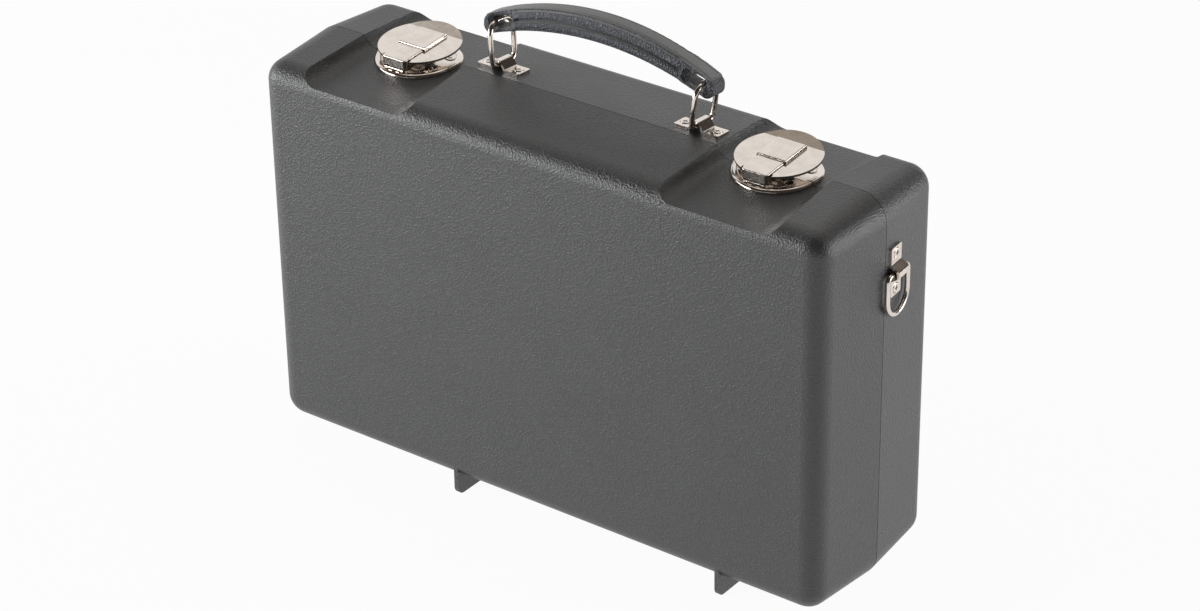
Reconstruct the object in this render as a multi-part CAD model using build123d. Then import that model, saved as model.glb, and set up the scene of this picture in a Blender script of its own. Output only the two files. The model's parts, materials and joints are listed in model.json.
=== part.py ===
from build123d import *
import os
from math import asin, cos, degrees, radians, tan

# Oboe case, standing on its hinge side as it is carried.
# X runs along the case, -Y is the lid, +Y is the body, Z is up.
# The origin is under the middle of the case, on the floor that the feet stand on.

# The shell: two like halves, each drafted from the parting plane at y = 0
LENGTH = 330.0
HEIGHT = 202.9
HALF_DEPTH = 47.3
DRAFT = 4.2
CORNER_RADIUS = 14.0
EDGE_RADIUS = 10.2
WALL = 3.0
PARTING_GAP = 0.3

# The rim: a tongue on the body in a rebate of the lid
TONGUE_INSET = 1.5
TONGUE_THICKNESS = 1.2
TONGUE_HEIGHT = 2.4
TONGUE_ROOT = 0.8
TONGUE_CLEARANCE = 0.3
REBATE_INSET = 5.0

# The feet: thin moulded fins on both halves
FOOT_HEIGHT = 6.5
FOOT_THICKNESS = 2.4
FOOT_TIP_RADIUS = 4.5
FOOT_SETBACK = 0.7
FOOT_INNER_Y = 12.0
FOOT_ROOT = 12.0
FOOT_X = (-50.0, 106.0)

# The latch recesses across the top
LATCH_X = 104.2
RECESS_CREST = 62.6
RECESS_DEPTH = 5.8
RECESS_WALL_ANGLE = 30.0
RECESS_RADIUS = 8.0
RECESS_ABOVE = 12.0

BASE_Z = FOOT_HEIGHT
DECK_Z = BASE_Z + HEIGHT
FLOOR_Z = DECK_Z - RECESS_DEPTH
MIDDLE_Z = BASE_Z + HEIGHT / 2

# The lining: a fitted insert in the body and a pad in the lid
LINING_CLEARANCE = 1.2
LINING_TOP_CLEARANCE = 4.0
INSERT_FACE_Y = 1.5
PAD_FACE_Y = 16.0
WELL_CORNER = 12.0
WELL_BOTTOM_RADIUS = 9.0
WELL_MOUTH = 2.0
# Each well: centre x, centre height over the shell's bottom, length, width, depth
LOWER_JOINT_WELL = (6.0, 34.0, 264.0, 44.0, 33.0)
UPPER_JOINT_WELL = (6.0, 86.0, 244.0, 40.0, 32.0)
BELL_WELL = (-84.0, 142.0, 124.0, 52.0, 34.0)
ACCESSORY_WELL = (64.0, 140.0, 132.0, 46.0, 28.0)

# The hinges under the parting line
HINGE_X = 78.0
HINGE_LENGTH = 38.0
HINGE_KNUCKLES = 5
HINGE_KNUCKLE_GAP = 0.25
HINGE_KNUCKLE_RADIUS = 2.5
HINGE_PIN_RADIUS = 1.2
HINGE_AXIS_DROP = 2.7
LEAF_THICKNESS = 1.2
LEAF_WIDTH = 20.0
LEAF_CLEARANCE = 1.0
LEAF_CORNER = 3.6
WEB_OVERLAP = 0.8
RIVET_RADIUS = 1.6
RIVET_HEAD_RADIUS = 3.0
RIVET_HEAD_HEIGHT = 1.0
RIVET_Y = 13.0
RIVET_SPACING = 13.0
RIVET_FILLET = 0.7
RIVET_SPREAD_RADIUS = 2.2
RIVET_SPREAD = 0.5

# Straps that hold the handle's loops and the end rings
STRAP_LENGTH = 25.0
STRAP_WIDTH = 9.4
STRAP_THICKNESS = 1.25
STRAP_CORNER = 0.9
STRAP_SCREW_OFFSET = 9.0
TUNNEL_TOP = 5.3
TUNNEL_CROWN = 3.0
TUNNEL_SLOPE = 56.0
TUNNEL_BEND = 0.9
RUNNING_CLEARANCE = 0.08

# The handle
HANDLE_PIVOT_X = 57.5
HANDLE_Y = 10.05
LOOP_WIRE_RADIUS = 1.3
LOOP_WIRE_LIFT = 2.55
LOOP_WIDTH = 15.8
LOOP_RISE = 21.85
LOOP_SPLAY = 2.3
LOOP_BOW = 1.1
LOOP_TOP_CORNER = 6.4
LOOP_BOTTOM_CORNER = 3.3
GRIP_WIDTH = 11.6
GRIP_LENGTH = 132.4
GRIP_TOP_RISE = 41.4
GRIP_TOP_END = 26.6
GRIP_BOTTOM_RISE = 29.1
GRIP_BOTTOM_END = 16.2
GRIP_UPPER_NOSE = 5.5
GRIP_LOWER_NOSE = 3.8
GRIP_FILLET = 1.2
GRIP_SLOT_CENTRE = (56.0, 25.4)
GRIP_SLOT_LENGTH = 11.6
GRIP_SLOT_HEIGHT = 5.3
GRIP_SLOT_TILT = 15.0
GRIP_MOUTH_START = 3.8
GRIP_MOUTH_FLARE = 40.0
GRIP_MOUTH_OVERRUN = 0.6
GRIP_GROOVE_REACH = 47.0
GRIP_GROOVE_WIDTH = 1.0
GRIP_GROOVE_DEPTH = 0.5

# The end rings for a shoulder strap
RING_STRAP_Y = 8.1
RING_STRAP_Z = BASE_Z + 163.2
RING_WIRE_RADIUS = 1.2
RING_WIRE_LIFT = 2.2
RING_HALF_WIDTH = 9.4
RING_STRAIGHT = 12.1
RING_CORNER = 2.6

# The screws of the straps and latches
SCREW_RADIUS = 1.4
SCREW_HEAD_RADIUS = 2.5
SCREW_HEAD_DEPTH = 1.1
SCREW_DOME_HEIGHT = 0.55
SCREW_DOME_FILLET = 0.45
SCREW_REACH = 0.8
SINK_RADIUS = 2.75
SINK_DEPTH = 0.15
HOLE_CLEARANCE = 0.05
CROSS_LENGTH = 2.6
CROSS_WIDTH = 0.6
CROSS_DEPTH = 0.9

# The latches: each half of the base, and the lever, in the plane of its own sloping floor
LATCH_Y = 3.3
BASE_RADIUS = 21.7
BASE_PLATE = 1.2
RIM_WIDTH = 3.8
RIM_HEIGHT = 2.2
RIM_OUTER_FILLET = 1.6
RIM_INNER_FILLET = 0.8
LID_SCREW = (12.3, -5.0)
BODY_SCREW = (13.0, 11.0)
LEVER_Y = 5.2
LEVER_RADIUS = 20.5
LEVER_THICKNESS = 1.1
LEVER_TOP = 7.8
LEVER_AXIS_Y = -14.9
LEVER_AXIS_Z = 2.9
LEVER_KNUCKLE_RADIUS = 0.9
LEVER_PIN_RADIUS = 0.45
LEVER_KNUCKLE_GAP = 0.2
LEVER_KNUCKLES = 5
LEVER_KNUCKLE_SPAN = 11.2
KNUCKLE_POCKET = 0.3
BOX_WIDTH = 14.2
BOX_FRONT_Y = -15.3
BOX_TOP = 8.6
BOX_END_Y = -1.2
BOX_FOOT = 3.0
BOX_CORNER = 1.5
PLATEAU_WIDTH = 15.4
PLATEAU_FOOT_WIDTH = 16.6
PLATEAU_TOP = 9.4
PLATEAU_END_Y = 16.0
PRESSED_FILLET = 0.5
RELIEF_WIDTH = 1.2
RELIEF_END_Y = -11.8
LIP_FOLD_Y = 17.5
LIP_ANGLE = 9.0
CATCH_WIDTH = 7.0
CATCH_THICKNESS = 1.0
CATCH_FACE_Y = 11.1
CATCH_FOOT = 0.6
CATCH_FLANGE_Y = 3.0
KEEPER_WIDTH = 8.0
KEEPER_THICKNESS = 1.2
KEEPER_FOOT = -0.9
KEEPER_TOP = 4.0
KEEPER_FILLET = 0.5
KEEPER_GAP = 0.3
SPRING_WIDTH = 5.0
SPRING_THICKNESS = 0.5
SPRING_BACK_Y = -2.5
SPRING_BEND_Y = -9.0
SPRING_TIP_Y = -13.5
SPRING_TIP_RISE = 0.6

LID_SIDE = -1
BODY_SIDE = 1
SIDES = (("left", -1), ("right", 1))
TURN = Rot(0, 0, 180)


def box_between(low, high):
    size = [high[i] - low[i] for i in range(3)]
    middle = [(high[i] + low[i]) / 2 for i in range(3)]
    return Pos(*middle) * Box(*size)


def as_part(shape):
    """Joins what a boolean or a location left as a list or a compound."""
    solids = shape.solids()
    return solids[0] if len(solids) == 1 else Compound(children=list(solids))


def recess_outline(grow):
    """One latch recess seen from the front, grown all round to leave a wall."""
    half = RECESS_CREST / 2
    lean = tan(radians(RECESS_WALL_ANGLE))
    shift = grow / cos(radians(RECESS_WALL_ANGLE))
    floor = FLOOR_Z - grow
    top = DECK_Z + RECESS_ABOVE
    wide = half + shift + RECESS_ABOVE * lean
    narrow = half + shift - (DECK_Z - floor) * lean
    corners = [(-wide, top), (-narrow, floor), (narrow, floor), (wide, top)]
    outline = make_face(Polyline(*corners, close=True))
    rounded = outline.vertices().sort_by(Axis.Y)[:2]
    return fillet(rounded, RECESS_RADIUS + grow)


def recess_profile(grow):
    flat = recess_outline(grow)
    return [Pos(side * LATCH_X, 0) * flat for name, side in SIDES]


def recess_cutters(grow):
    """Both recesses through the front half, widening and sinking with its draft."""
    return [extrude(Plane.XZ * flat, 2 * HALF_DEPTH, taper=-DRAFT) for flat in recess_profile(grow)]


def front_block(inset, depth, edge_radius, grow):
    """The drafted front half, taken in by inset on every side."""
    plan = RectangleRounded(LENGTH - 2 * inset, HEIGHT - 2 * inset, CORNER_RADIUS - inset)
    block = extrude(Plane.XZ * Pos(0, MIDDLE_Z) * plan, depth, taper=DRAFT)
    front_edges = block.edges().group_by(Axis.Y)[0]
    block = fillet(front_edges, edge_radius)
    for cutter in recess_cutters(grow):
        block -= cutter
    return as_part(block)


def foot_fin(x):
    """One fin under the front half, its tip rounded where it meets the front face."""
    front = -HALF_DEPTH + FOOT_SETBACK
    corners = [
        (front, FOOT_ROOT + BASE_Z),
        (front, 0),
        (-FOOT_INNER_Y - FOOT_HEIGHT, 0),
        (-FOOT_INNER_Y, FOOT_HEIGHT),
        (-FOOT_INNER_Y, FOOT_HEIGHT + WALL / 2),
        (front + FOOT_ROOT, FOOT_ROOT + BASE_Z),
    ]
    outline = make_face(Polyline(*corners, close=True))
    tip = outline.vertices().sort_by(Axis.Y)[0:2].sort_by(Axis.X)[0]
    outline = fillet(tip, FOOT_TIP_RADIUS)
    return Pos(x, 0, 0) * extrude(Plane.YZ * outline, FOOT_THICKNESS / 2, both=True)


def half_shell():
    """The front half as a tray, before its rim and its holes are cut."""
    shell = front_block(0, HALF_DEPTH, EDGE_RADIUS, 0)
    for x in FOOT_X:
        shell += foot_fin(x)
    shell -= front_block(WALL, HALF_DEPTH - WALL, EDGE_RADIUS - WALL, WALL)
    return as_part(shell)


def rim_outline(inset):
    """The parting outline, recesses included, taken in by inset."""
    plan = Pos(0, MIDDLE_Z) * RectangleRounded(
        LENGTH - 2 * inset, HEIGHT - 2 * inset, CORNER_RADIUS - inset
    )
    for flat in recess_profile(inset):
        plan -= flat
    return plan


def rim_ring(outer, inner, front, back):
    """A ring between two insets, from y = front to y = back."""
    ring = rim_outline(outer) - rim_outline(inner)
    return Pos(0, back, 0) * extrude(Plane.XZ * ring, back - front)


def latch_frame(side, half):
    """On the sloping recess floor of one half, at one latch: its y stays towards the body."""
    return Pos(side * LATCH_X, 0, FLOOR_Z) * Rot(-half * DRAFT, 0, 0)


def latch_screw_places(half):
    dx, y = LID_SCREW if half == LID_SIDE else BODY_SCREW
    return [Pos(step * dx, y, 0) for step in (-1, 1)]


def latch_holes(half):
    """Screw holes down through both recess floors of one half."""
    drill = Cylinder(SCREW_RADIUS + HOLE_CLEARANCE, 4 * WALL)
    return [
        latch_frame(side, half) * place * drill
        for name, side in SIDES
        for place in latch_screw_places(half)
    ]


def rivet_positions(side):
    return [side * HINGE_X + step * RIVET_SPACING for step in (-1, 0, 1)]


def under_shell(half):
    """The plane of the shell's drafted bottom: its y runs away from the parting."""
    return Pos(0, 0, BASE_Z) * Rot(half * DRAFT, 0, 0)


def rivet_holes(half):
    """Rivet holes up through the bottom wall of one half, square to it."""
    drill = Cylinder(RIVET_RADIUS + HOLE_CLEARANCE, 4 * WALL)
    return [
        under_shell(half) * Pos(x, half * RIVET_Y, 0) * drill
        for name, side in SIDES
        for x in rivet_positions(side)
    ]


def handle_frame(side):
    """On the body's drafted deck, at one handle strap."""
    drop = HANDLE_Y * tan(radians(DRAFT))
    return Pos(side * HANDLE_PIVOT_X, HANDLE_Y, DECK_Z - drop) * Rot(-DRAFT, 0, 0)


def grip_frame():
    """On the same deck, midway between the two straps."""
    return Pos(-HANDLE_PIVOT_X, 0, 0) * handle_frame(1)


def ring_frame():
    """On the right drafted end of the body: its z points outward, its x points down."""
    drop = RING_STRAP_Y * tan(radians(DRAFT))
    return Pos(LENGTH / 2 - drop, RING_STRAP_Y, RING_STRAP_Z) * Rot(0, 0, DRAFT) * Rot(0, 90, 0)


def placed_on_end(side, shape):
    """Sets a shape made for an end's frame on the right end, or its mirror on the left."""
    right = ring_frame() * shape
    return right if side > 0 else mirror(right, Plane.YZ)


def strap_screw_places():
    return [Pos(step * STRAP_SCREW_OFFSET, 0, 0) for step in (-1, 1)]


def screw_holes_strap():
    drill = Cylinder(SCREW_RADIUS + HOLE_CLEARANCE, 4 * WALL)
    holes = []
    for name, side in SIDES:
        for place in strap_screw_places():
            holes.append(handle_frame(side) * place * drill)
            holes.append(placed_on_end(side, place * drill))
    return holes


def lid_shell():
    shell = half_shell()
    gap = PARTING_GAP / 2
    rebate_front = -(TONGUE_HEIGHT + TONGUE_CLEARANCE)
    rebate = rim_ring(TONGUE_INSET - TONGUE_CLEARANCE, REBATE_INSET, rebate_front, WALL)
    trim = box_between((-LENGTH, -gap, -HEIGHT), (LENGTH, HALF_DEPTH, 2 * HEIGHT))
    shell = shell - trim - rebate
    for hole in latch_holes(LID_SIDE) + rivet_holes(LID_SIDE):
        shell -= hole
    return as_part(shell)


def body_shell():
    shell = TURN * half_shell()
    gap = PARTING_GAP / 2
    trim = box_between((-LENGTH, -HALF_DEPTH, -HEIGHT), (LENGTH, gap, 2 * HEIGHT))
    shell -= trim
    inner = TONGUE_INSET + TONGUE_THICKNESS
    shell += rim_ring(TONGUE_INSET, inner, -TONGUE_HEIGHT, TONGUE_ROOT)
    for hole in latch_holes(BODY_SIDE) + rivet_holes(BODY_SIDE) + screw_holes_strap():
        shell -= hole
    return as_part(shell)


def well(place):
    """One well, cut into the insert from its face towards +Y."""
    x, height, length, width, depth = place
    plan = RectangleRounded(length, width, WELL_CORNER)
    pocket = extrude(Plane.XZ * Pos(x, BASE_Z + height) * plan, -depth)
    bottom = pocket.edges().group_by(Axis.Y)[-1]
    pocket = fillet(bottom, WELL_BOTTOM_RADIUS)
    mouth = extrude(Plane.XZ * Pos(x, BASE_Z + height) * plan, WELL_MOUTH)
    return Pos(0, INSERT_FACE_Y, 0) * (pocket + mouth)


def lining_block(face_y):
    """The space behind the rim of the front half, from face_y to the front wall."""
    inset = WALL + LINING_CLEARANCE
    depth = HALF_DEPTH - inset
    block = front_block(inset, depth, EDGE_RADIUS - inset, LINING_TOP_CLEARANCE + WALL)
    return block - box_between((-LENGTH, -face_y, -HEIGHT), (LENGTH, HALF_DEPTH, 2 * HEIGHT))


def fitted_insert():
    block = TURN * lining_block(INSERT_FACE_Y)
    for place in (LOWER_JOINT_WELL, UPPER_JOINT_WELL, BELL_WELL, ACCESSORY_WELL):
        block -= well(place)
    return as_part(block)


def lid_pad():
    return as_part(lining_block(PAD_FACE_Y))


def knuckle_spans(length, count, gap, first):
    """The x spans of every other knuckle along a hinge, from one end to the other."""
    pitch = length / count
    return [
        (-length / 2 + k * pitch + gap / 2, -length / 2 + (k + 1) * pitch - gap / 2)
        for k in range(first, count, 2)
    ]


def rod_x(radius, low, high, y, z):
    return Pos((low + high) / 2, y, z) * Rot(0, 90, 0) * Cylinder(radius, high - low)


def hinge_axis_rod(side, radius, low, high):
    """A rod on the hinge axis, from low to high about the middle of one hinge."""
    return rod_x(radius, side * HINGE_X + low, side * HINGE_X + high, 0, BASE_Z - HINGE_AXIS_DROP)


def hinge_leaf(side, half):
    """One leaf with its knuckles. The body's leaf has the outer ones."""
    start = HINGE_KNUCKLE_RADIUS + LEAF_CLEARANCE
    reach = HINGE_LENGTH / 2
    plate = box_between((-reach, start, -LEAF_THICKNESS), (reach, LEAF_WIDTH, 0))
    plate = fillet(plate.edges().filter_by(Axis.Z).group_by(Axis.Y)[-1], LEAF_CORNER)
    flipped = plate if half == BODY_SIDE else TURN * plate
    leaf = under_shell(half) * Pos(side * HINGE_X, 0, 0) * flipped
    first = 0 if half == BODY_SIDE else 1
    web_top = BASE_Z - PARTING_GAP / 2
    web_y = sorted((half * WEB_OVERLAP, half * (start + LEAF_CLEARANCE)))
    for low, high in knuckle_spans(HINGE_LENGTH, HINGE_KNUCKLES, HINGE_KNUCKLE_GAP, first):
        leaf += hinge_axis_rod(side, HINGE_KNUCKLE_RADIUS, low, high)
        leaf += box_between(
            (side * HINGE_X + low, web_y[0], web_top - LEAF_THICKNESS),
            (side * HINGE_X + high, web_y[1], web_top),
        )
    leaf -= hinge_axis_rod(side, HINGE_PIN_RADIUS + RUNNING_CLEARANCE, -HINGE_LENGTH, HINGE_LENGTH)
    for hole in rivet_holes(half):
        leaf -= hole
    return as_part(leaf)


def hinge_pin(side):
    return as_part(hinge_axis_rod(side, HINGE_PIN_RADIUS, -HINGE_LENGTH / 2, HINGE_LENGTH / 2))


def rivet():
    """A rivet along Z, its head under the leaf and its other end spread inside."""
    shank = Pos(0, 0, (WALL - LEAF_THICKNESS) / 2) * Cylinder(RIVET_RADIUS, WALL + LEAF_THICKNESS)
    head_middle = -LEAF_THICKNESS - RIVET_HEAD_HEIGHT / 2
    head = Pos(0, 0, head_middle) * Cylinder(RIVET_HEAD_RADIUS, RIVET_HEAD_HEIGHT)
    head = fillet(head.edges().group_by(Axis.Z)[0], RIVET_FILLET)
    spread = Pos(0, 0, WALL + RIVET_SPREAD / 2) * Cylinder(RIVET_SPREAD_RADIUS, RIVET_SPREAD)
    return as_part(shank + head + spread)


def hinge_rivets(half):
    one = rivet()
    return [
        under_shell(half) * Pos(x, half * RIVET_Y, 0) * one
        for name, side in SIDES
        for x in rivet_positions(side)
    ]


def screw(plate):
    """A sunk cross-head screw along Z, in the top of a plate that stands on z = 0."""
    head_top = plate - SINK_DEPTH
    length = head_top + WALL + SCREW_REACH
    shank = Pos(0, 0, head_top - length / 2) * Cylinder(SCREW_RADIUS, length)
    cone = Cone(SCREW_RADIUS, SCREW_HEAD_RADIUS, SCREW_HEAD_DEPTH)
    cone = Pos(0, 0, head_top - SCREW_HEAD_DEPTH / 2) * cone
    dome = Pos(0, 0, head_top + SCREW_DOME_HEIGHT / 2) * Cylinder(SCREW_HEAD_RADIUS, SCREW_DOME_HEIGHT)
    dome = fillet(dome.edges().group_by(Axis.Z)[-1], SCREW_DOME_FILLET)
    whole = shank + cone + dome
    for turn in (0, 90):
        slot = Box(CROSS_LENGTH, CROSS_WIDTH, 2 * CROSS_DEPTH)
        whole -= Pos(0, 0, head_top + SCREW_DOME_HEIGHT) * Rot(0, 0, turn) * slot
    return as_part(whole)


def sunk_hole(plate):
    """The hole for such a screw: a cone under the plate's top over a plain bore."""
    bore = Cylinder(SCREW_RADIUS + HOLE_CLEARANCE, 4 * WALL)
    depth = SCREW_HEAD_DEPTH + SINK_DEPTH
    cone = Cone(SCREW_RADIUS + HOLE_CLEARANCE, SINK_RADIUS, depth)
    return bore + Pos(0, 0, plate - depth / 2) * cone


def strap():
    """A stamped strap along X with a raised tunnel along Y, standing on z = 0."""
    thick = STRAP_THICKNESS
    end = STRAP_LENGTH / 2
    per_rise = 1 / tan(radians(TUNNEL_SLOPE))
    outer = TUNNEL_CROWN / 2
    outer_foot = outer + (TUNNEL_TOP - thick) * per_rise
    inner = outer - thick * tan(radians(TUNNEL_SLOPE / 2))
    inner_foot = inner + (TUNNEL_TOP - thick) * per_rise
    half = [
        (0, TUNNEL_TOP), (outer, TUNNEL_TOP), (outer_foot, thick), (end, thick), (end, 0),
        (inner_foot, 0), (inner, TUNNEL_TOP - thick), (0, TUNNEL_TOP - thick),
    ]
    flat = make_face(Polyline(*half, close=True))
    bends = [flat.vertices().sort_by_distance(Vector(*half[k]))[0] for k in (1, 2)]
    flat = fillet(bends, TUNNEL_BEND)
    profile = flat + mirror(flat, Plane.YZ)
    body = extrude(Plane.XZ * profile, STRAP_WIDTH / 2, both=True)
    plan = RectangleRounded(STRAP_LENGTH, STRAP_WIDTH, STRAP_CORNER)
    body = body & extrude(plan, TUNNEL_TOP)
    for place in strap_screw_places():
        body -= place * sunk_hole(thick)
    return as_part(body)


def strap_screw_pair():
    one = screw(STRAP_THICKNESS)
    return [place * one for place in strap_screw_places()]


def swept_wire(path, radius):
    start = path @ 0
    along = path % 0
    section = Plane(origin=start, z_dir=along) * Circle(radius)
    return as_part(sweep(section, path))


def handle_loop(side):
    """A closed, bowed wire loop: its lower run lies in the strap, its upper one in the grip."""
    half = LOOP_WIDTH / 2
    top = (LOOP_RISE ** 2 + LOOP_SPLAY ** 2) ** 0.5
    outline = [
        Line((-half, 0), (half, 0)),
        ThreePointArc((half, 0), (half + LOOP_BOW, top / 2), (half, top)),
        Line((half, top), (-half, top)),
        ThreePointArc((-half, top), (-half - LOOP_BOW, top / 2), (-half, 0)),
    ]
    face = make_face(outline)
    face = fillet(face.vertices().group_by(Axis.Y)[0], LOOP_BOTTOM_CORNER)
    face = fillet(face.vertices().group_by(Axis.Y)[-1], LOOP_TOP_CORNER)
    path = (Plane.YZ * face).wire()
    splay = side * degrees(asin(LOOP_SPLAY / top))
    loop = Rot(0, splay, 0) * swept_wire(path, LOOP_WIRE_RADIUS)
    return as_part(handle_frame(side) * Pos(0, 0, LOOP_WIRE_LIFT) * loop)


def grip_slot(side):
    """The slot for one loop, with flared mouths in both faces of the grip."""
    tilt = -side * GRIP_SLOT_TILT
    flat = Rot(0, 0, tilt) * SlotOverall(GRIP_SLOT_LENGTH, GRIP_SLOT_HEIGHT)
    placed = Plane.XZ * Pos(side * GRIP_SLOT_CENTRE[0], GRIP_SLOT_CENTRE[1]) * flat
    slot = extrude(placed, GRIP_WIDTH, both=True)
    depth = GRIP_WIDTH / 2 - GRIP_MOUTH_START + GRIP_MOUTH_OVERRUN
    mouth = Pos(0, -GRIP_MOUTH_START, 0) * extrude(placed, depth, taper=-GRIP_MOUTH_FLARE)
    return slot + mouth + mirror(mouth, Plane.XZ)


def grip_groove():
    """A thin curved band halfway up the grip's sides, for the groove between its ribs."""
    reach = GRIP_GROOVE_REACH
    share = (2 * reach / GRIP_LENGTH) ** 2
    crown = (GRIP_TOP_RISE + GRIP_BOTTOM_RISE) / 2
    end = crown - share * (crown - (GRIP_TOP_END + GRIP_BOTTOM_END) / 2)
    half = GRIP_GROOVE_WIDTH / 2
    outline = [
        ThreePointArc((-reach, end + half), (0, crown + half), (reach, end + half)),
        Line((reach, end + half), (reach, end - half)),
        ThreePointArc((reach, end - half), (0, crown - half), (-reach, end - half)),
        Line((-reach, end - half), (-reach, end + half)),
    ]
    band = extrude(Plane.XZ * make_face(outline), GRIP_WIDTH, both=True)
    core = box_between(
        (-LENGTH, -GRIP_WIDTH / 2 + GRIP_GROOVE_DEPTH, -HEIGHT),
        (LENGTH, GRIP_WIDTH / 2 - GRIP_GROOVE_DEPTH, HEIGHT),
    )
    return band - core


def handle_grip():
    """The arched grip, with a slot near each end for its wire loop."""
    x_end = GRIP_LENGTH / 2
    outline = [
        ThreePointArc((-x_end, GRIP_TOP_END), (0, GRIP_TOP_RISE), (x_end, GRIP_TOP_END)),
        Line((x_end, GRIP_TOP_END), (x_end, GRIP_BOTTOM_END)),
        ThreePointArc((x_end, GRIP_BOTTOM_END), (0, GRIP_BOTTOM_RISE), (-x_end, GRIP_BOTTOM_END)),
        Line((-x_end, GRIP_BOTTOM_END), (-x_end, GRIP_TOP_END)),
    ]
    face = make_face(outline)
    corners = face.vertices().sort_by(Axis.Y)
    face = fillet(corners[:2], GRIP_LOWER_NOSE)
    face = fillet(face.vertices().sort_by(Axis.Y)[-2:], GRIP_UPPER_NOSE)
    grip = extrude(Plane.XZ * face, GRIP_WIDTH / 2, both=True)
    side_faces = grip.faces().filter_by(Axis.Y)
    grip = fillet(side_faces.edges(), GRIP_FILLET)
    for name, side in SIDES:
        grip -= grip_slot(side)
    grip -= grip_groove()
    return as_part(grip_frame() * grip)


def strap_ring():
    """The D ring for the right end, hanging along the end's own x, which points down."""
    half = RING_HALF_WIDTH
    bar = FilletPolyline(
        (RING_STRAIGHT, -half), (0, -half), (0, half), (RING_STRAIGHT, half),
        radius=RING_CORNER,
    )
    bow = ThreePointArc((RING_STRAIGHT, half), (RING_STRAIGHT + half, 0), (RING_STRAIGHT, -half))
    path = Wire(bar.edges() + bow.edges())
    return Pos(0, 0, RING_WIRE_LIFT) * swept_wire(path, RING_WIRE_RADIUS)


def latch_disc():
    """The round base of a latch before it is split, standing on z = 0."""
    disc = Pos(0, LATCH_Y, RIM_HEIGHT / 2) * Cylinder(BASE_RADIUS, RIM_HEIGHT)
    disc = fillet(disc.edges().group_by(Axis.Z)[-1], RIM_OUTER_FILLET)
    dish_top = BASE_PLATE + RIM_HEIGHT
    disc -= Pos(0, LATCH_Y, dish_top) * Cylinder(BASE_RADIUS - RIM_WIDTH, 2 * RIM_HEIGHT)
    circles = disc.edges().filter_by(GeomType.CIRCLE).group_by(Axis.Z)[-1]
    return fillet(circles.sort_by(SortBy.RADIUS)[0], RIM_INNER_FILLET)


def half_of_disc(half):
    gap = PARTING_GAP / 2
    reach = 2 * BASE_RADIUS
    low_y, high_y = (-reach, -gap) if half == LID_SIDE else (gap, reach)
    kept = latch_disc() & box_between((-reach, low_y, 0), (reach, high_y, RIM_HEIGHT))
    for place in latch_screw_places(half):
        kept -= place * sunk_hole(BASE_PLATE)
    return kept


def lever_axis_rod(radius, low, high):
    return rod_x(radius, low, high, LEVER_AXIS_Y, LEVER_AXIS_Z)


def lever_knuckle_spans(first):
    return knuckle_spans(LEVER_KNUCKLE_SPAN, LEVER_KNUCKLES, LEVER_KNUCKLE_GAP, first)


def knuckle_pockets(first):
    """Room around the knuckles of the other piece, to turn in."""
    radius = LEVER_KNUCKLE_RADIUS + KNUCKLE_POCKET
    gap = LEVER_KNUCKLE_GAP
    return [lever_axis_rod(radius, low - gap, high + gap) for low, high in lever_knuckle_spans(first)]


def lever_bore():
    return lever_axis_rod(LEVER_PIN_RADIUS + RUNNING_CLEARANCE / 2, -BASE_RADIUS, BASE_RADIUS)


def latch_lid_base():
    """The front half of the base, with the outer knuckles of the lever's hinge."""
    base = half_of_disc(LID_SIDE)
    for pocket in knuckle_pockets(1):
        base -= pocket
    for low, high in lever_knuckle_spans(0):
        base += lever_axis_rod(LEVER_KNUCKLE_RADIUS, low, high)
        base += box_between(
            (low, LEVER_AXIS_Y - LEVER_KNUCKLE_RADIUS, BASE_PLATE / 2),
            (high, LEVER_AXIS_Y + LEVER_KNUCKLE_RADIUS, LEVER_AXIS_Z),
        )
    return as_part(base - lever_bore())


def latch_body_base():
    """The rear half of the base, with the keeper, square to the lever, that the catch snaps behind."""
    back = CATCH_FACE_Y - KEEPER_GAP
    keeper = box_between(
        (-KEEPER_WIDTH / 2, back - KEEPER_THICKNESS, KEEPER_FOOT),
        (KEEPER_WIDTH / 2, back, KEEPER_TOP),
    )
    keeper = fillet(keeper.edges().filter_by(Axis.X).group_by(Axis.Z)[-1], KEEPER_FILLET)
    return as_part(half_of_disc(BODY_SIDE) + Rot(2 * DRAFT, 0, 0) * keeper)


def lever_plate():
    """The round plate of the lever: its rear is bent up for a fingertip, and its front cut free."""
    under = LEVER_TOP - LEVER_THICKNESS
    disc = Pos(0, LEVER_Y, under + LEVER_THICKNESS / 2) * Cylinder(LEVER_RADIUS, LEVER_THICKNESS)
    reach = 2 * BASE_RADIUS
    front = disc & box_between((-reach, LEVER_AXIS_Y, 0), (reach, LIP_FOLD_Y, PLATEAU_TOP))
    lip = disc & box_between((-reach, LIP_FOLD_Y, 0), (reach, reach, PLATEAU_TOP))
    fold = Pos(0, LIP_FOLD_Y, under)
    plate = front + fold * Rot(LIP_ANGLE, 0, 0) * fold.inverse() * lip
    for step in (-1, 1):
        inside, outside = sorted((step * BOX_WIDTH / 2, step * (BOX_WIDTH / 2 + RELIEF_WIDTH)))
        plate -= box_between((inside, -reach, 0), (outside, RELIEF_END_Y, PLATEAU_TOP))
    return plate


def lever_box(inset):
    """The front box of the lever over its hinge, outside (inset 0) or its hollow."""
    low = BOX_FOOT if inset == 0 else 0
    front = BOX_FRONT_Y + inset
    block = box_between(
        (inset - BOX_WIDTH / 2, front, low), (BOX_WIDTH / 2 - inset, BOX_END_Y, BOX_TOP - inset)
    )
    if inset == 0:
        block = fillet(block.edges().filter_by(Axis.Z).group_by(Axis.Y)[0], BOX_CORNER)
        block = fillet(block.edges().group_by(Axis.Z)[-1], PRESSED_FILLET)
    return block


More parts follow.
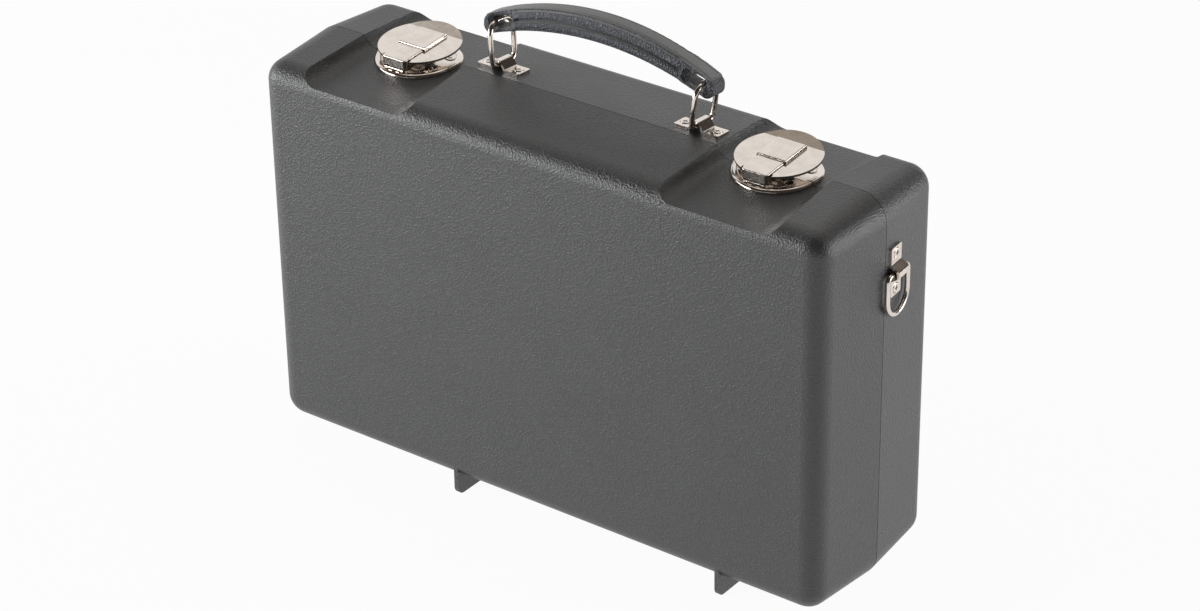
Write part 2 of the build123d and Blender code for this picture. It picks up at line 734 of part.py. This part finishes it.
def lever_plateau(inset):
    """The raised plateau behind the box, its sides slanted, outside or its hollow."""
    low = LEVER_TOP - LEVER_THICKNESS
    top = PLATEAU_TOP - inset
    foot = PLATEAU_FOOT_WIDTH / 2 - inset
    crown = PLATEAU_WIDTH / 2 - inset
    flat = make_face(Polyline((-foot, low), (-crown, top), (crown, top), (foot, low), close=True))
    front = BOX_END_Y + inset
    back = PLATEAU_END_Y - inset
    block = Pos(0, back, 0) * extrude(Plane.XZ * flat, back - front)
    return block if inset else fillet(block.edges().group_by(Axis.Z)[-1], PRESSED_FILLET)


def latch_lever():
    """The pressed round lever: a front box over the hinge, a raised plateau, a rear lip."""
    skin = LEVER_THICKNESS
    lever = lever_plate() + lever_box(0) + lever_plateau(0)
    lever -= lever_box(skin)
    lever -= lever_plateau(skin)
    for pocket in knuckle_pockets(0):
        lever -= pocket
    for low, high in lever_knuckle_spans(1):
        lever += lever_axis_rod(LEVER_KNUCKLE_RADIUS, low, high)
        lever += box_between((low, BOX_FRONT_Y, LEVER_AXIS_Z), (high, BOX_FRONT_Y + skin, BOX_FOOT + skin))
    return as_part(lever - lever_bore())


def latch_catch():
    """The catch under the plateau: a flange against it and a leg behind the keeper."""
    under = PLATEAU_TOP - LEVER_THICKNESS
    flange = box_between(
        (-CATCH_WIDTH / 2, CATCH_FLANGE_Y, under - CATCH_THICKNESS),
        (CATCH_WIDTH / 2, CATCH_FACE_Y + CATCH_THICKNESS, under),
    )
    leg = box_between(
        (-CATCH_WIDTH / 2, CATCH_FACE_Y, CATCH_FOOT),
        (CATCH_WIDTH / 2, CATCH_FACE_Y + CATCH_THICKNESS, under),
    )
    return as_part(flange + leg)


def latch_pin():
    reach = LEVER_KNUCKLE_SPAN / 2
    return as_part(lever_axis_rod(LEVER_PIN_RADIUS, -reach, reach))


def latch_spring():
    """The leaf spring in the front box, fixed on the base and bearing towards the hinge."""
    low = BASE_PLATE
    tip = low + SPRING_TIP_RISE
    thick = SPRING_THICKNESS
    corners = [
        (SPRING_BACK_Y, low), (SPRING_BACK_Y, low + thick), (SPRING_BEND_Y, low + thick),
        (SPRING_TIP_Y, tip + thick), (SPRING_TIP_Y, tip), (SPRING_BEND_Y, low),
    ]
    outline = make_face(Polyline(*corners, close=True))
    return as_part(extrude(Plane.YZ * outline, SPRING_WIDTH / 2, both=True))


def latch_screws(half):
    one = screw(BASE_PLATE)
    return [
        latch_frame(side, half) * place * one
        for name, side in SIDES
        for place in latch_screw_places(half)
    ]


def handle_screws():
    return [handle_frame(side) * one for name, side in SIDES for one in strap_screw_pair()]


def strap_screws():
    return [placed_on_end(side, one) for name, side in SIDES for one in strap_screw_pair()]


def save(name, shapes):
    """Writes one named piece, or one group of like pieces, to its own file."""
    group = shapes if isinstance(shapes, list) else [shapes]
    solids = [solid for shape in group for solid in shape.solids()]
    whole = solids[0] if len(solids) == 1 else Compound(children=solids)
    whole.label = name
    export_step(whole, f"parts/{name}.step")


def main():
    os.makedirs("parts", exist_ok=True)
    save("body_shell", body_shell())
    save("lid_shell", lid_shell())
    save("fitted_insert", fitted_insert())
    save("lid_pad", lid_pad())
    for name, side in SIDES:
        save(f"hinge_{name}_body_leaf", hinge_leaf(side, BODY_SIDE))
        save(f"hinge_{name}_lid_leaf", hinge_leaf(side, LID_SIDE))
        save(f"hinge_{name}_pin", hinge_pin(side))
    save("hinge_rivets_body", hinge_rivets(BODY_SIDE))
    save("hinge_rivets_lid", hinge_rivets(LID_SIDE))
    one_strap = strap()
    for name, side in SIDES:
        save(f"handle_bracket_{name}", handle_frame(side) * one_strap)
        save(f"handle_loop_{name}", handle_loop(side))
        save(f"strap_bracket_{name}", placed_on_end(side, one_strap))
        save(f"strap_ring_{name}", placed_on_end(side, strap_ring()))
    save("handle_grip", handle_grip())
    save("handle_screws", handle_screws())
    save("strap_screws", strap_screws())
    latch_pieces = {
        "lid_base": (latch_lid_base(), LID_SIDE),
        "body_base": (latch_body_base(), BODY_SIDE),
        "lever": (latch_lever(), LID_SIDE),
        "catch": (latch_catch(), LID_SIDE),
        "pin": (latch_pin(), LID_SIDE),
        "spring": (latch_spring(), LID_SIDE),
    }
    for name, side in SIDES:
        for piece, (shape, half) in latch_pieces.items():
            save(f"latch_{name}_{piece}", latch_frame(side, half) * shape)
    save("latch_screws_lid", latch_screws(LID_SIDE))
    save("latch_screws_body", latch_screws(BODY_SIDE))


main()
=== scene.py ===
"""The looks of the oboe case: materials, soft pieces, camera, lamps, world and floor."""
import json
import math

import bpy
import numpy as np
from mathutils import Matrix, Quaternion, Vector


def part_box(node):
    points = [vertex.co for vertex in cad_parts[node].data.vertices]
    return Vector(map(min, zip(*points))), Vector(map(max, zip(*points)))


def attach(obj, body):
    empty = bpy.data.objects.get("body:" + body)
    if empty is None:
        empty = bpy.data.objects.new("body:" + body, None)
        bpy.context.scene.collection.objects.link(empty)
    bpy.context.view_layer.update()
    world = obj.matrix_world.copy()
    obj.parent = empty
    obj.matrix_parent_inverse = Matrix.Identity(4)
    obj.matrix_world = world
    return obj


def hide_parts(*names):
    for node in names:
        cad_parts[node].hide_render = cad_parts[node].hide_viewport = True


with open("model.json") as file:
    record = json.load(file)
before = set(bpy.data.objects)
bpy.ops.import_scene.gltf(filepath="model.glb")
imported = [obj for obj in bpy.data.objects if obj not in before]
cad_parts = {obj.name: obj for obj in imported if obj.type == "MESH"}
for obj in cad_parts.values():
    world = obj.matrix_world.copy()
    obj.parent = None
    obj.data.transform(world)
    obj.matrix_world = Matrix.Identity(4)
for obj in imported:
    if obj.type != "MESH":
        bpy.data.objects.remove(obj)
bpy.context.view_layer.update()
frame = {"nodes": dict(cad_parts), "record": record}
NODES = frame["nodes"]
MM = 0.001

# The part's source has the same values, in millimetres. Each of the grip's two long arcs has
# a height over the deck at its ends, and one at its crown.
DRAFT = math.radians(4.2)
DECK_Z = 209.4
HANDLE_Y = 10.05
GRIP_END = 66.2
GRIP_LOWER_ARC = (16.2, 29.1)
GRIP_UPPER_ARC = (26.6, 41.4)

# The grip's cover: lengths in millimetres, and heights as shares of its thickness
RIBS_FROM, RIBS_TO = 0.10, 0.90
RIB_SWELL = 0.95
RIB_FULLNESS = 0.6
RIB_INSET = 0.6
RIB_ENDS = (46.0, 49.0)
GROOVE_AT = 0.47
GROOVE_DEPTH, GROOVE_WIDTH = 1.9, 0.6
FLAT_END_INSET = 0.25
FLAT_END_FOOT = (0.08, 0.2)
FLAT_END_HEAD = (0.84, 0.92)
SEAM_AT = 0.915
SEAM_DEPTH, SEAM_WIDTH = 0.8, 0.4
SIDE_FROM, SIDE_TO = 3.6, 5.2
TOP_FROM, TOP_TO = 0.97, 0.995
TOP_LINE_Y = 3.7
TOP_LINE_DEPTH, TOP_LINE_WIDTH = 0.45, 0.4
TOP_INSET = 0.25
TOP_CROWN = 0.25
TOP_HALF_WIDTH = 5.8

# The lid's padding, in metres. The channels lie at shares of its half length, and end at a
# share of its half height.
PAD_PRESSURE = 4.0
PAD_RISE = 0.0045
PAD_SIDEWAYS_SHARE = 0.1
PAD_FACE_DEPTH = 0.010
PAD_CLEARANCE = 0.0002
CROWN_POWER = 8
CHANNELS = np.array([-0.5, 0.0, 0.5])
CHANNEL_END, CHANNEL_FADE = 0.93, 0.05
STITCH_DEPTH, STITCH_WIDTH = 0.0036, 0.0022
HOLLOW_DEPTH, HOLLOW_WIDTH = 0.0026, 0.012
CLOTH_FRAMES = 20
CLOTH_QUALITY = 6

# The camera, solved from the photograph, in radians, metres and pixels of the photograph
PHOTO_WIDTH = 1200
CAMERA_AZIMUTH = 0.6165
CAMERA_ELEVATION = 0.5099
CAMERA_ROLL = -0.002
CAMERA_DISTANCE = 1612.45 * MM
CAMERA_TARGET = Vector((54.8, 0, 119.5)) * MM
FOCAL_PIXELS = 3425.46
CENTRE_COLUMN = 684.28
SENSOR_WIDTH = 36.0

# The studio
CASE_MIDDLE = Vector((0, 0, 0.11))
WHITE = (1.0, 1.0, 1.0, 1.0)
AMBIENT = (0.1, 0.1, 0.102, 1.0)
DARK_ROOM = (0.05, 0.04, 0.034, 1.0)
WARM_CEILING = (0.36, 0.32, 0.28, 1.0)
FLOOR_REACH = 9.0
FLOOR_WHITE = 1.08
FLOOR_WHITE_SHARE = 0.88


class Graph:
    """Builds one node tree. Scales are per metre, and distances are in metres."""

    def __init__(self, tree):
        self.tree = tree
        tree.nodes.clear()

    def feed(self, socket, value):
        """Links a socket to another node's output, or sets its constant."""
        if isinstance(value, bpy.types.NodeSocket):
            self.tree.links.new(value, socket)
        else:
            socket.default_value = value

    def node(self, kind, inputs=None, **settings):
        """A new node with its settings made and its inputs fed."""
        node = self.tree.nodes.new(kind)
        for key, value in settings.items():
            setattr(node, key, value)
        for key, value in (inputs or {}).items():
            self.feed(node.inputs[key], value)
        return node

    def put(self, kind, inputs=None, **settings):
        """The first output of a new node."""
        return self.node(kind, inputs, **settings).outputs[0]

    def coordinates(self, kind):
        return self.node("ShaderNodeTexCoord").outputs[kind]

    def axes(self, vector):
        """The X, Y and Z of a vector."""
        return self.node("ShaderNodeSeparateXYZ", {0: vector}).outputs

    def times(self, first, second):
        return self.put("ShaderNodeMath", {0: first, 1: second}, operation="MULTIPLY")

    def larger(self, first, second):
        return self.put("ShaderNodeMath", {0: first, 1: second}, operation="MAXIMUM")

    def added(self, value, other, share):
        """The value plus a share of the other one."""
        inputs = {0: other, 1: share, 2: value}
        return self.put("ShaderNodeMath", inputs, operation="MULTIPLY_ADD")

    def noise(self, vector, scale, detail=2.0, roughness=0.5):
        inputs = {"Vector": vector, "Scale": scale, "Detail": detail, "Roughness": roughness}
        return self.put("ShaderNodeTexNoise", inputs)

    def cells(self, vector, scale, feature="F1"):
        return self.put("ShaderNodeTexVoronoi", {"Vector": vector, "Scale": scale}, feature=feature)

    def ramp(self, value, low, high, start=0.0, end=1.0, kind="SMOOTHSTEP"):
        """Goes from start, where the value is low or less, to end, where it is high or more."""
        inputs = {
            "Value": value,
            "From Min": low, "From Max": high,
            "To Min": start, "To Max": end,
        }
        return self.put("ShaderNodeMapRange", inputs, interpolation_type=kind)

    def blend(self, share, first, second):
        """The first colour at a share of 0, the second at 1."""
        mix = self.node("ShaderNodeMix", data_type="RGBA")
        self.feed(mix.inputs[0], share)
        self.feed(mix.inputs[6], first)
        self.feed(mix.inputs[7], second)
        return mix.outputs[2]

    def bump(self, height, distance, strength, under=None):
        """Relief of a height, on top of the one under it if there is one."""
        inputs = {"Height": height, "Distance": distance, "Strength": strength}
        if under is not None:
            inputs["Normal"] = under
        return self.put("ShaderNodeBump", inputs)

    def stretched(self, vector, x, y, z):
        inputs = {0: vector, 1: (x, y, z)}
        return self.put("ShaderNodeVectorMath", inputs, operation="MULTIPLY")

    def jittered(self, vector, scale, amount):
        """The coordinates pushed about by a noise, so that cells lose their straight sides."""
        noise = self.node("ShaderNodeTexNoise", {"Vector": vector, "Scale": scale})
        shift = self.stretched(noise.outputs["Color"], amount, amount, amount)
        return self.put("ShaderNodeVectorMath", {0: vector, 1: shift}, operation="ADD")


def grey(value, blue=0.0):
    """A grey, moved a little towards blue."""
    return (value * (1 - blue), value * (1 - blue / 2), value * (1 + blue), 1.0)


def new_material(name):
    """A material, its empty graph, and the coordinates in metres on the object."""
    material = bpy.data.materials.new(name)
    material.use_nodes = True
    graph = Graph(material.node_tree)
    return material, graph, graph.coordinates("Object")


def close_material(graph, inputs):
    shader = graph.put("ShaderNodeBsdfPrincipled", inputs)
    graph.node("ShaderNodeOutputMaterial", {"Surface": shader})


def pebbled_plastic():
    """Black moulded plastic with a pebble grain and a little dust."""
    material, graph, place = new_material("pebbled_plastic")
    bent = graph.jittered(place, scale=1300.0, amount=0.00025)
    pebbles = graph.cells(bent, scale=1250.0, feature="SMOOTH_F1")
    height = graph.added(pebbles, graph.noise(place, scale=3400.0), share=0.3)
    height = graph.added(height, graph.noise(place, scale=750.0), share=0.2)
    patches = graph.noise(place, scale=22.0, detail=4.0, roughness=0.6)
    dark, pale = grey(0.042, blue=0.02), grey(0.052, blue=0.02)
    tone = graph.blend(graph.ramp(patches, 0.3, 0.7), dark, pale)
    tops = graph.ramp(pebbles, 0.15, 0.5, start=1.0, end=0.0)
    tone = graph.blend(graph.times(tops, 0.5), tone, grey(0.09))
    dust = graph.ramp(graph.cells(place, scale=95.0), 0.016, 0.03, start=1.0, end=0.0)
    tone = graph.blend(graph.times(dust, 0.7), tone, grey(0.35))
    close_material(graph, {
        "Base Color": tone,
        "Roughness": graph.ramp(patches, 0.25, 0.75, start=0.38, end=0.45),
        "Specular IOR Level": 0.8,
        "Normal": graph.bump(height, distance=0.00032, strength=0.85),
    })
    return material


def polished_nickel():
    """Bright plate over pressed sheet: nearly flat, with a faint waviness and fine wear."""
    material, graph, place = new_material("polished_nickel")
    waves = graph.noise(place, scale=90.0)
    along = graph.stretched(place, 1.0, 9.0, 4.0)
    wipes = graph.noise(along, scale=420.0, detail=4.0, roughness=0.65)
    haze = graph.noise(place, scale=140.0, detail=5.0, roughness=0.6)
    bright, dull = (0.74, 0.675, 0.615, 1), (0.66, 0.60, 0.54, 1)
    normal = graph.bump(waves, distance=0.0003, strength=0.3)
    close_material(graph, {
        "Base Color": graph.blend(graph.ramp(haze, 0.35, 0.7), bright, dull),
        "Metallic": 1.0,
        "Roughness": graph.ramp(wipes, 0.3, 0.75, start=0.09, end=0.2),
        "Normal": graph.bump(wipes, distance=0.00001, strength=0.25, under=normal),
    })
    return material


def plain_steel():
    """Turned or pressed steel under the plated pieces."""
    material, graph, place = new_material("plain_steel")
    lines = graph.noise(graph.stretched(place, 0.15, 3.0, 3.0), scale=1800.0, detail=3.0)
    haze = graph.noise(place, scale=240.0, detail=4.0)
    bright, dull = (0.50, 0.49, 0.47, 1), (0.36, 0.35, 0.34, 1)
    close_material(graph, {
        "Base Color": graph.blend(graph.ramp(haze, 0.3, 0.7), bright, dull),
        "Metallic": 1.0,
        "Roughness": graph.ramp(lines, 0.3, 0.7, start=0.26, end=0.42),
        "Normal": graph.bump(lines, distance=0.00002, strength=0.5),
    })
    return material


def leather_grained_vinyl():
    """The grip: wrinkled grain on its sides, with painted shade in its creases; worn smoother on
    its top, whose paler colour is painted light.
    """
    material, graph, place = new_material("leather_grained_vinyl")
    bent = graph.jittered(place, scale=420.0, amount=0.0012)
    lengthened = graph.stretched(bent, 1.0, 1.0, 0.7)
    creases = graph.cells(lengthened, scale=700.0, feature="DISTANCE_TO_EDGE")
    wrinkles = graph.ramp(creases, 0.0, 0.36)
    height = graph.added(wrinkles, graph.noise(place, scale=2400.0, detail=3.0), share=0.3)
    top = graph.ramp(graph.axes(graph.coordinates("Normal"))["Z"], 0.55, 0.9)
    patches = graph.noise(place, scale=60.0, detail=4.0)
    # Painted shade: the sides' colour goes darker along the grain's creases.
    side_tone_with_crease_shade = graph.blend(wrinkles, grey(0.085, blue=0.08), grey(0.2, blue=0.08))
    # Painted light: the upward-facing top is given a paler colour than the sides.
    top_tone_with_painted_light = graph.blend(graph.ramp(patches, 0.3, 0.7), grey(0.28), grey(0.34))
    depth = graph.ramp(top, 0.0, 1.0, start=1.0, end=0.22, kind="LINEAR")
    close_material(graph, {
        "Base Color": graph.blend(top, side_tone_with_crease_shade, top_tone_with_painted_light),
        "Roughness": graph.ramp(patches, 0.3, 0.7, start=0.46, end=0.56),
        "Normal": graph.bump(graph.times(height, depth), distance=0.00045, strength=0.9),
    })
    return material


def plush_lining():
    """Short black pile with a soft sheen, brushed this way and that."""
    material, graph, place = new_material("plush_lining")
    pile = graph.noise(place, scale=3200.0, detail=3.0, roughness=0.7)
    bent = graph.jittered(place, scale=60.0, amount=0.01)
    tufts = graph.noise(bent, scale=420.0, detail=4.0, roughness=0.65)
    lengthened = graph.stretched(place, 1.0, 1.0, 0.45)
    brushed = graph.noise(lengthened, scale=34.0, detail=4.0, roughness=0.6)
    dark, pale = grey(0.014, blue=0.12), grey(0.032, blue=0.1)
    tone = graph.blend(graph.ramp(brushed, 0.35, 0.68), dark, pale)
    tips = graph.times(graph.ramp(pile, 0.4, 0.75), 0.5)
    tone = graph.blend(tips, tone, grey(0.06, blue=0.08))
    height = graph.added(pile, tufts, share=0.8)
    close_material(graph, {
        "Base Color": tone,
        "Roughness": 0.92,
        "Sheen Weight": 0.55,
        "Sheen Roughness": 0.38,
        "Sheen Tint": (0.62, 0.65, 0.74, 1),
        "Specular IOR Level": 0.15,
        "Normal": graph.bump(height, distance=0.0005, strength=0.8),
    })
    return material


PLASTIC = pebbled_plastic()
NICKEL = polished_nickel()
STEEL = plain_steel()
VINYL = leather_grained_vinyl()
PLUSH = plush_lining()
BY_SLOT = {"shell": PLASTIC, "nickel": NICKEL, "steel": STEEL, "grip": VINYL, "plush": PLUSH}


def dress_nodes():
    """Gives each CAD node the material of its slot in the record."""
    slots = {row["node"]: row["material_slot"] for row in frame["record"]["subparts"]}
    for name, node in NODES.items():
        node.data.materials.clear()
        node.data.materials.append(BY_SLOT[slots[name]])


def applied(piece):
    """A new mesh of the piece with its modifiers applied, which then go."""
    depsgraph = bpy.context.evaluated_depsgraph_get()
    made = bpy.data.meshes.new_from_object(piece.evaluated_get(depsgraph))
    piece.modifiers.clear()
    return made


def points_of(mesh):
    """A mesh's points as an array of rows."""
    flat = np.empty(len(mesh.vertices) * 3)
    mesh.vertices.foreach_get("co", flat)
    return flat.reshape(-1, 3)


def set_points(mesh, points):
    mesh.vertices.foreach_set("co", points.ravel())
    mesh.update()


def shade_smooth(mesh):
    mesh.polygons.foreach_set("use_smooth", [True] * len(mesh.polygons))


def shaped_copy(node_name, name, voxel, smoothing, rounds):
    """A closed, evenly meshed and softened copy of one CAD node, with no material."""
    piece = bpy.data.objects.new(name, NODES[node_name].data.copy())
    bpy.context.scene.collection.objects.link(piece)
    weld = piece.modifiers.new("weld", "WELD")
    weld.merge_threshold = 0.00001
    remesh = piece.modifiers.new("remesh", "REMESH")
    remesh.mode = "VOXEL"
    remesh.voxel_size = voxel
    smooth = piece.modifiers.new("smooth", "SMOOTH")
    smooth.factor = smoothing
    smooth.iterations = rounds
    piece.data = applied(piece)
    piece.data.name = name
    piece.data.materials.clear()
    shade_smooth(piece.data)
    return piece


def hollow(distance, depth, width):
    """A groove of soft section: its depth at a distance from its middle."""
    return depth * np.exp(-((distance / width) ** 2))


def eased(value, low, high):
    """0 up to low and 1 from high on, with soft ends."""
    share = np.clip((value - low) / (high - low), 0, 1)
    return share * share * (3 - 2 * share)


def insert_lining():
    """The plush-covered foam that the joints lie in."""
    piece = shaped_copy("fitted_insert", "insert_plush", voxel=0.0019, smoothing=0.5, rounds=9)
    piece.data.materials.append(PLUSH)
    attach(piece, "case_body")
    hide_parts("fitted_insert")


def swollen(piece, pressure, cap):
    """The cover's points before it swells as cloth over its filling, and how each one moves."""
    before = points_of(piece.data)
    cloth = piece.modifiers.new("cloth", "CLOTH")
    cloth.settings.use_pressure = True
    cloth.settings.uniform_pressure_force = pressure
    cloth.settings.quality = CLOTH_QUALITY
    cloth.settings.effector_weights.gravity = 0.0
    cloth.point_cache.frame_start = 1
    cloth.point_cache.frame_end = CLOTH_FRAMES
    scene = bpy.context.scene
    for number in range(1, CLOTH_FRAMES + 1):
        scene.frame_set(number)
    made = applied(piece)
    scene.frame_set(1)
    move = points_of(made) - before
    bpy.data.meshes.remove(made)
    length = np.linalg.norm(move, axis=1)
    share = np.minimum(1.0, cap / np.maximum(length, 1e-9))
    return before, move * share[:, None]


def sewn(points, low, high):
    """The padding's points with a crowned face and sewn channels, none past the solid's front."""
    half_x = (high.x - low.x) / 2
    half_z = (high.z - low.z) / 2
    u = points[:, 0] / half_x
    v = (points[:, 2] - (high.z + low.z) / 2) / half_z
    face = np.clip((points[:, 1] - (high.y - PAD_FACE_DEPTH)) / PAD_FACE_DEPTH, 0, 1)
    from_end = 1 - np.clip(np.abs(u), 0, 1) ** CROWN_POWER
    from_edge = 1 - np.clip(np.abs(v), 0, 1) ** CROWN_POWER
    crown = PAD_RISE * (1 - from_end * from_edge)
    away = np.min(np.abs(u[:, None] - CHANNELS[None, :]), axis=1) * half_x
    inside = np.clip((CHANNEL_END - np.abs(v)) / CHANNEL_FADE, 0, 1)
    stitch = hollow(away, STITCH_DEPTH, STITCH_WIDTH)
    channel = inside * (stitch + hollow(away, HOLLOW_DEPTH, HOLLOW_WIDTH))
    past = np.maximum(points[:, 1] - high.y + PAD_CLEARANCE, 0)
    points[:, 1] -= face * (crown + channel) + past
    return points


def lid_lining():
    """The padded lining of the lid: its cover swells towards the case, between sewn channels."""
    low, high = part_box("lid_pad")
    piece = shaped_copy("lid_pad", "lid_plush", voxel=0.0048, smoothing=0.5, rounds=3)
    before, move = swollen(piece, PAD_PRESSURE, PAD_RISE)
    depth = np.clip((before[:, 1] - low.y) / (high.y - low.y), 0, 1)
    move[:, (0, 2)] *= PAD_SIDEWAYS_SHARE
    move[:, 1] = np.maximum(move[:, 1], 0) * depth ** 2
    set_points(piece.data, before + move)
    divide = piece.modifiers.new("divide", "SUBSURF")
    divide.levels = 2
    divide.render_levels = 2
    piece.data = applied(piece)
    set_points(piece.data, sewn(points_of(piece.data), low, high))
    shade_smooth(piece.data)
    piece.data.materials.append(PLUSH)
    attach(piece, "lid")
    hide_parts("lid_pad")


def arc_height(x, end, crown):
    """The height over the deck of one of the grip's long arcs, in millimetres."""
    sagitta = crown - end
    radius = (GRIP_END ** 2 + sagitta ** 2) / (2 * sagitta)
    return crown - radius + np.sqrt(radius ** 2 - np.clip(x, -GRIP_END, GRIP_END) ** 2)


def grip_sides(x, y, share, thickness):
    """How far the grip's sides move outwards: two ribs, flat ends and a seam under the top."""
    upper = np.clip((share - GROOVE_AT) / (RIBS_TO - GROOVE_AT), 0, 1)
    lower = np.clip((share - RIBS_FROM) / (GROOVE_AT - RIBS_FROM), 0, 1)
    upper_rib = np.sin(np.pi * upper) ** RIB_FULLNESS
    lower_rib = np.sin(np.pi * lower) ** RIB_FULLNESS
    groove = hollow((share - GROOVE_AT) * thickness, GROOVE_DEPTH, GROOVE_WIDTH)
    ribs = RIB_SWELL * (upper_rib + lower_rib) - RIB_INSET - groove
    ribbed = 1 - eased(np.abs(x), *RIB_ENDS)
    foot, head = eased(share, *FLAT_END_FOOT), eased(share, *FLAT_END_HEAD)
    ends = -FLAT_END_INSET * (1 - ribbed) * foot * (1 - head)
    seam = hollow((share - SEAM_AT) * thickness, SEAM_DEPTH, SEAM_WIDTH)
    side = eased(np.abs(y), SIDE_FROM, SIDE_TO)
    return side * (ribs * ribbed + ends - seam)


def grip_cover():
    """The grip with its two ribs a side, flat ends round its slots and an edged, smooth top."""
    piece = shaped_copy("handle_grip", "grip_cover", voxel=0.00033, smoothing=0.45, rounds=3)
    points = points_of(piece.data) / MM
    deck = np.array([0.0, HANDLE_Y, DECK_Z - HANDLE_Y * math.tan(DRAFT)])
    across = np.array([0.0, math.cos(DRAFT), -math.sin(DRAFT)])
    upward = np.array([0.0, math.sin(DRAFT), math.cos(DRAFT)])
    x = points[:, 0]
    y = (points - deck) @ across
    low = arc_height(x, *GRIP_LOWER_ARC)
    thickness = arc_height(x, *GRIP_UPPER_ARC) - low
    share = ((points - deck) @ upward - low) / thickness
    outwards = np.sign(y) * grip_sides(x, y, share, thickness)
    on_top = eased(share, TOP_FROM, TOP_TO)
    line = hollow(np.abs(y) - TOP_LINE_Y, TOP_LINE_DEPTH, TOP_LINE_WIDTH) * on_top
    crown = TOP_CROWN * (1 - (y / TOP_HALF_WIDTH) ** 2) * on_top
    upwards = (-line - TOP_INSET + crown) * on_top
    points += outwards[:, None] * across + upwards[:, None] * upward
    set_points(piece.data, points * MM)
    piece.data.materials.append(VINYL)
    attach(piece, "handle_grip")
    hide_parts("handle_grip")


def add_camera():
    data = bpy.data.cameras.new("camera")
    camera = bpy.data.objects.new("camera", data)
    bpy.context.scene.collection.objects.link(camera)
    back = Vector((
        math.sin(CAMERA_AZIMUTH) * math.cos(CAMERA_ELEVATION),
        -math.cos(CAMERA_AZIMUTH) * math.cos(CAMERA_ELEVATION),
        math.sin(CAMERA_ELEVATION),
    ))
    roll = Quaternion((0, 0, 1), CAMERA_ROLL)
    camera.location = CAMERA_TARGET + back * CAMERA_DISTANCE
    camera.rotation_mode = "QUATERNION"
    camera.rotation_quaternion = (-back).to_track_quat("-Z", "Y") @ roll
    data.sensor_width = SENSOR_WIDTH
    data.lens = FOCAL_PIXELS / PHOTO_WIDTH * SENSOR_WIDTH
    data.shift_x = -(CENTRE_COLUMN - PHOTO_WIDTH / 2) / PHOTO_WIDTH
    data.clip_start = 0.05
    data.clip_end = 50.0
    bpy.context.scene.camera = camera


def soft_box(name, towards, distance, size, strength, colour=(1, 1, 1)):
    """An area lamp of one plain strength, aimed at the middle of the case."""
    data = bpy.data.lights.new(name, "AREA")
    data.shape = "RECTANGLE"
    data.size, data.size_y = size
    data.energy = strength * math.pi * size[0] * size[1]
    data.color = colour
    lamp = bpy.data.objects.new(name, data)
    bpy.context.scene.collection.objects.link(lamp)
    away = Vector(towards).normalized()
    lamp.location = CASE_MIDDLE + away * distance
    lamp.rotation_mode = "QUATERNION"
    lamp.rotation_quaternion = away.to_track_quat("Z", "Y")


def add_lamps():
    soft_box(
        "front_left", towards=(-0.78, -0.62, 0.04), distance=1.7, size=(1.4, 0.9),
        strength=8.8, colour=(0.98, 0.99, 1.0),
    )
    soft_box(
        "right_rear", towards=(0.86, 0.51, 0.03), distance=1.8, size=(1.1, 0.9),
        strength=6.2,
    )
    soft_box(
        "overhead", towards=(-0.10, 0.15, 0.98), distance=1.9, size=(1.6, 1.2),
        strength=0.95, colour=(1.0, 0.985, 0.96),
    )


def ray_kinds(graph):
    """Two outputs: 1 for rays straight from the camera or through glass, and 1 for gloss."""
    path = graph.node("ShaderNodeLightPath").outputs
    return graph.larger(path["Is Camera Ray"], path["Is Transmission Ray"]), path["Is Glossy Ray"]


def add_world():
    """White behind the case; gloss also meets a dim warm ceiling and a dark right and front."""
    world = bpy.data.worlds.new("studio")
    bpy.context.scene.world = world
    world.use_nodes = True
    graph = Graph(world.node_tree)
    direction = graph.axes(graph.coordinates("Generated"))
    low = graph.ramp(direction["Z"], 0.62, 0.72, start=1.0, end=0.0)
    left = graph.ramp(direction["X"], 0.0, 0.25, start=1.0, end=0.0)
    rear = graph.ramp(direction["Y"], -0.25, 0.1)
    screen = graph.times(low, graph.times(left, rear))
    high = graph.ramp(direction["Z"], 0.45, 0.75)
    ceiling = graph.times(high, graph.ramp(direction["Y"], -0.15, 0.25))
    dim = graph.blend(ceiling, DARK_ROOM, WARM_CEILING)
    mirrored = graph.blend(screen, dim, WHITE)
    seen, glossy = ray_kinds(graph)
    lit = graph.blend(glossy, AMBIENT, mirrored)
    colour = graph.blend(seen, lit, WHITE)
    background = graph.put("ShaderNodeBackground", {"Color": colour, "Strength": 1.0})
    graph.node("ShaderNodeOutputWorld", {"Surface": background})


def add_floor():
    """A wide pale floor that shows nearly white and keeps a soft shadow of the case."""
    mesh = bpy.data.meshes.new("studio_floor")
    reach = FLOOR_REACH
    corners = [(-reach, -reach, 0), (reach, -reach, 0), (reach, reach, 0), (-reach, reach, 0)]
    mesh.from_pydata(corners, [], [(0, 1, 2, 3)])
    floor = bpy.data.objects.new("studio_floor", mesh)
    bpy.context.scene.collection.objects.link(floor)
    material, graph, place = new_material("pale_floor")
    mottle = graph.noise(place, scale=3.0, detail=3.0)
    tone = graph.blend(mottle, grey(0.56), grey(0.60))
    surface = graph.put("ShaderNodeBsdfDiffuse", {"Color": tone})
    white = graph.put("ShaderNodeEmission", {"Color": WHITE, "Strength": FLOOR_WHITE})
    shown = graph.times(graph.larger(*ray_kinds(graph)), FLOOR_WHITE_SHARE)
    mixed = graph.put("ShaderNodeMixShader", {0: shown, 1: surface, 2: white})
    graph.node("ShaderNodeOutputMaterial", {"Surface": mixed})
    mesh.materials.append(material)


bpy.context.scene.view_settings.view_transform = "Standard"
add_camera()
add_lamps()
add_world()
add_floor()
dress_nodes()
insert_lining()
lid_lining()
grip_cover()
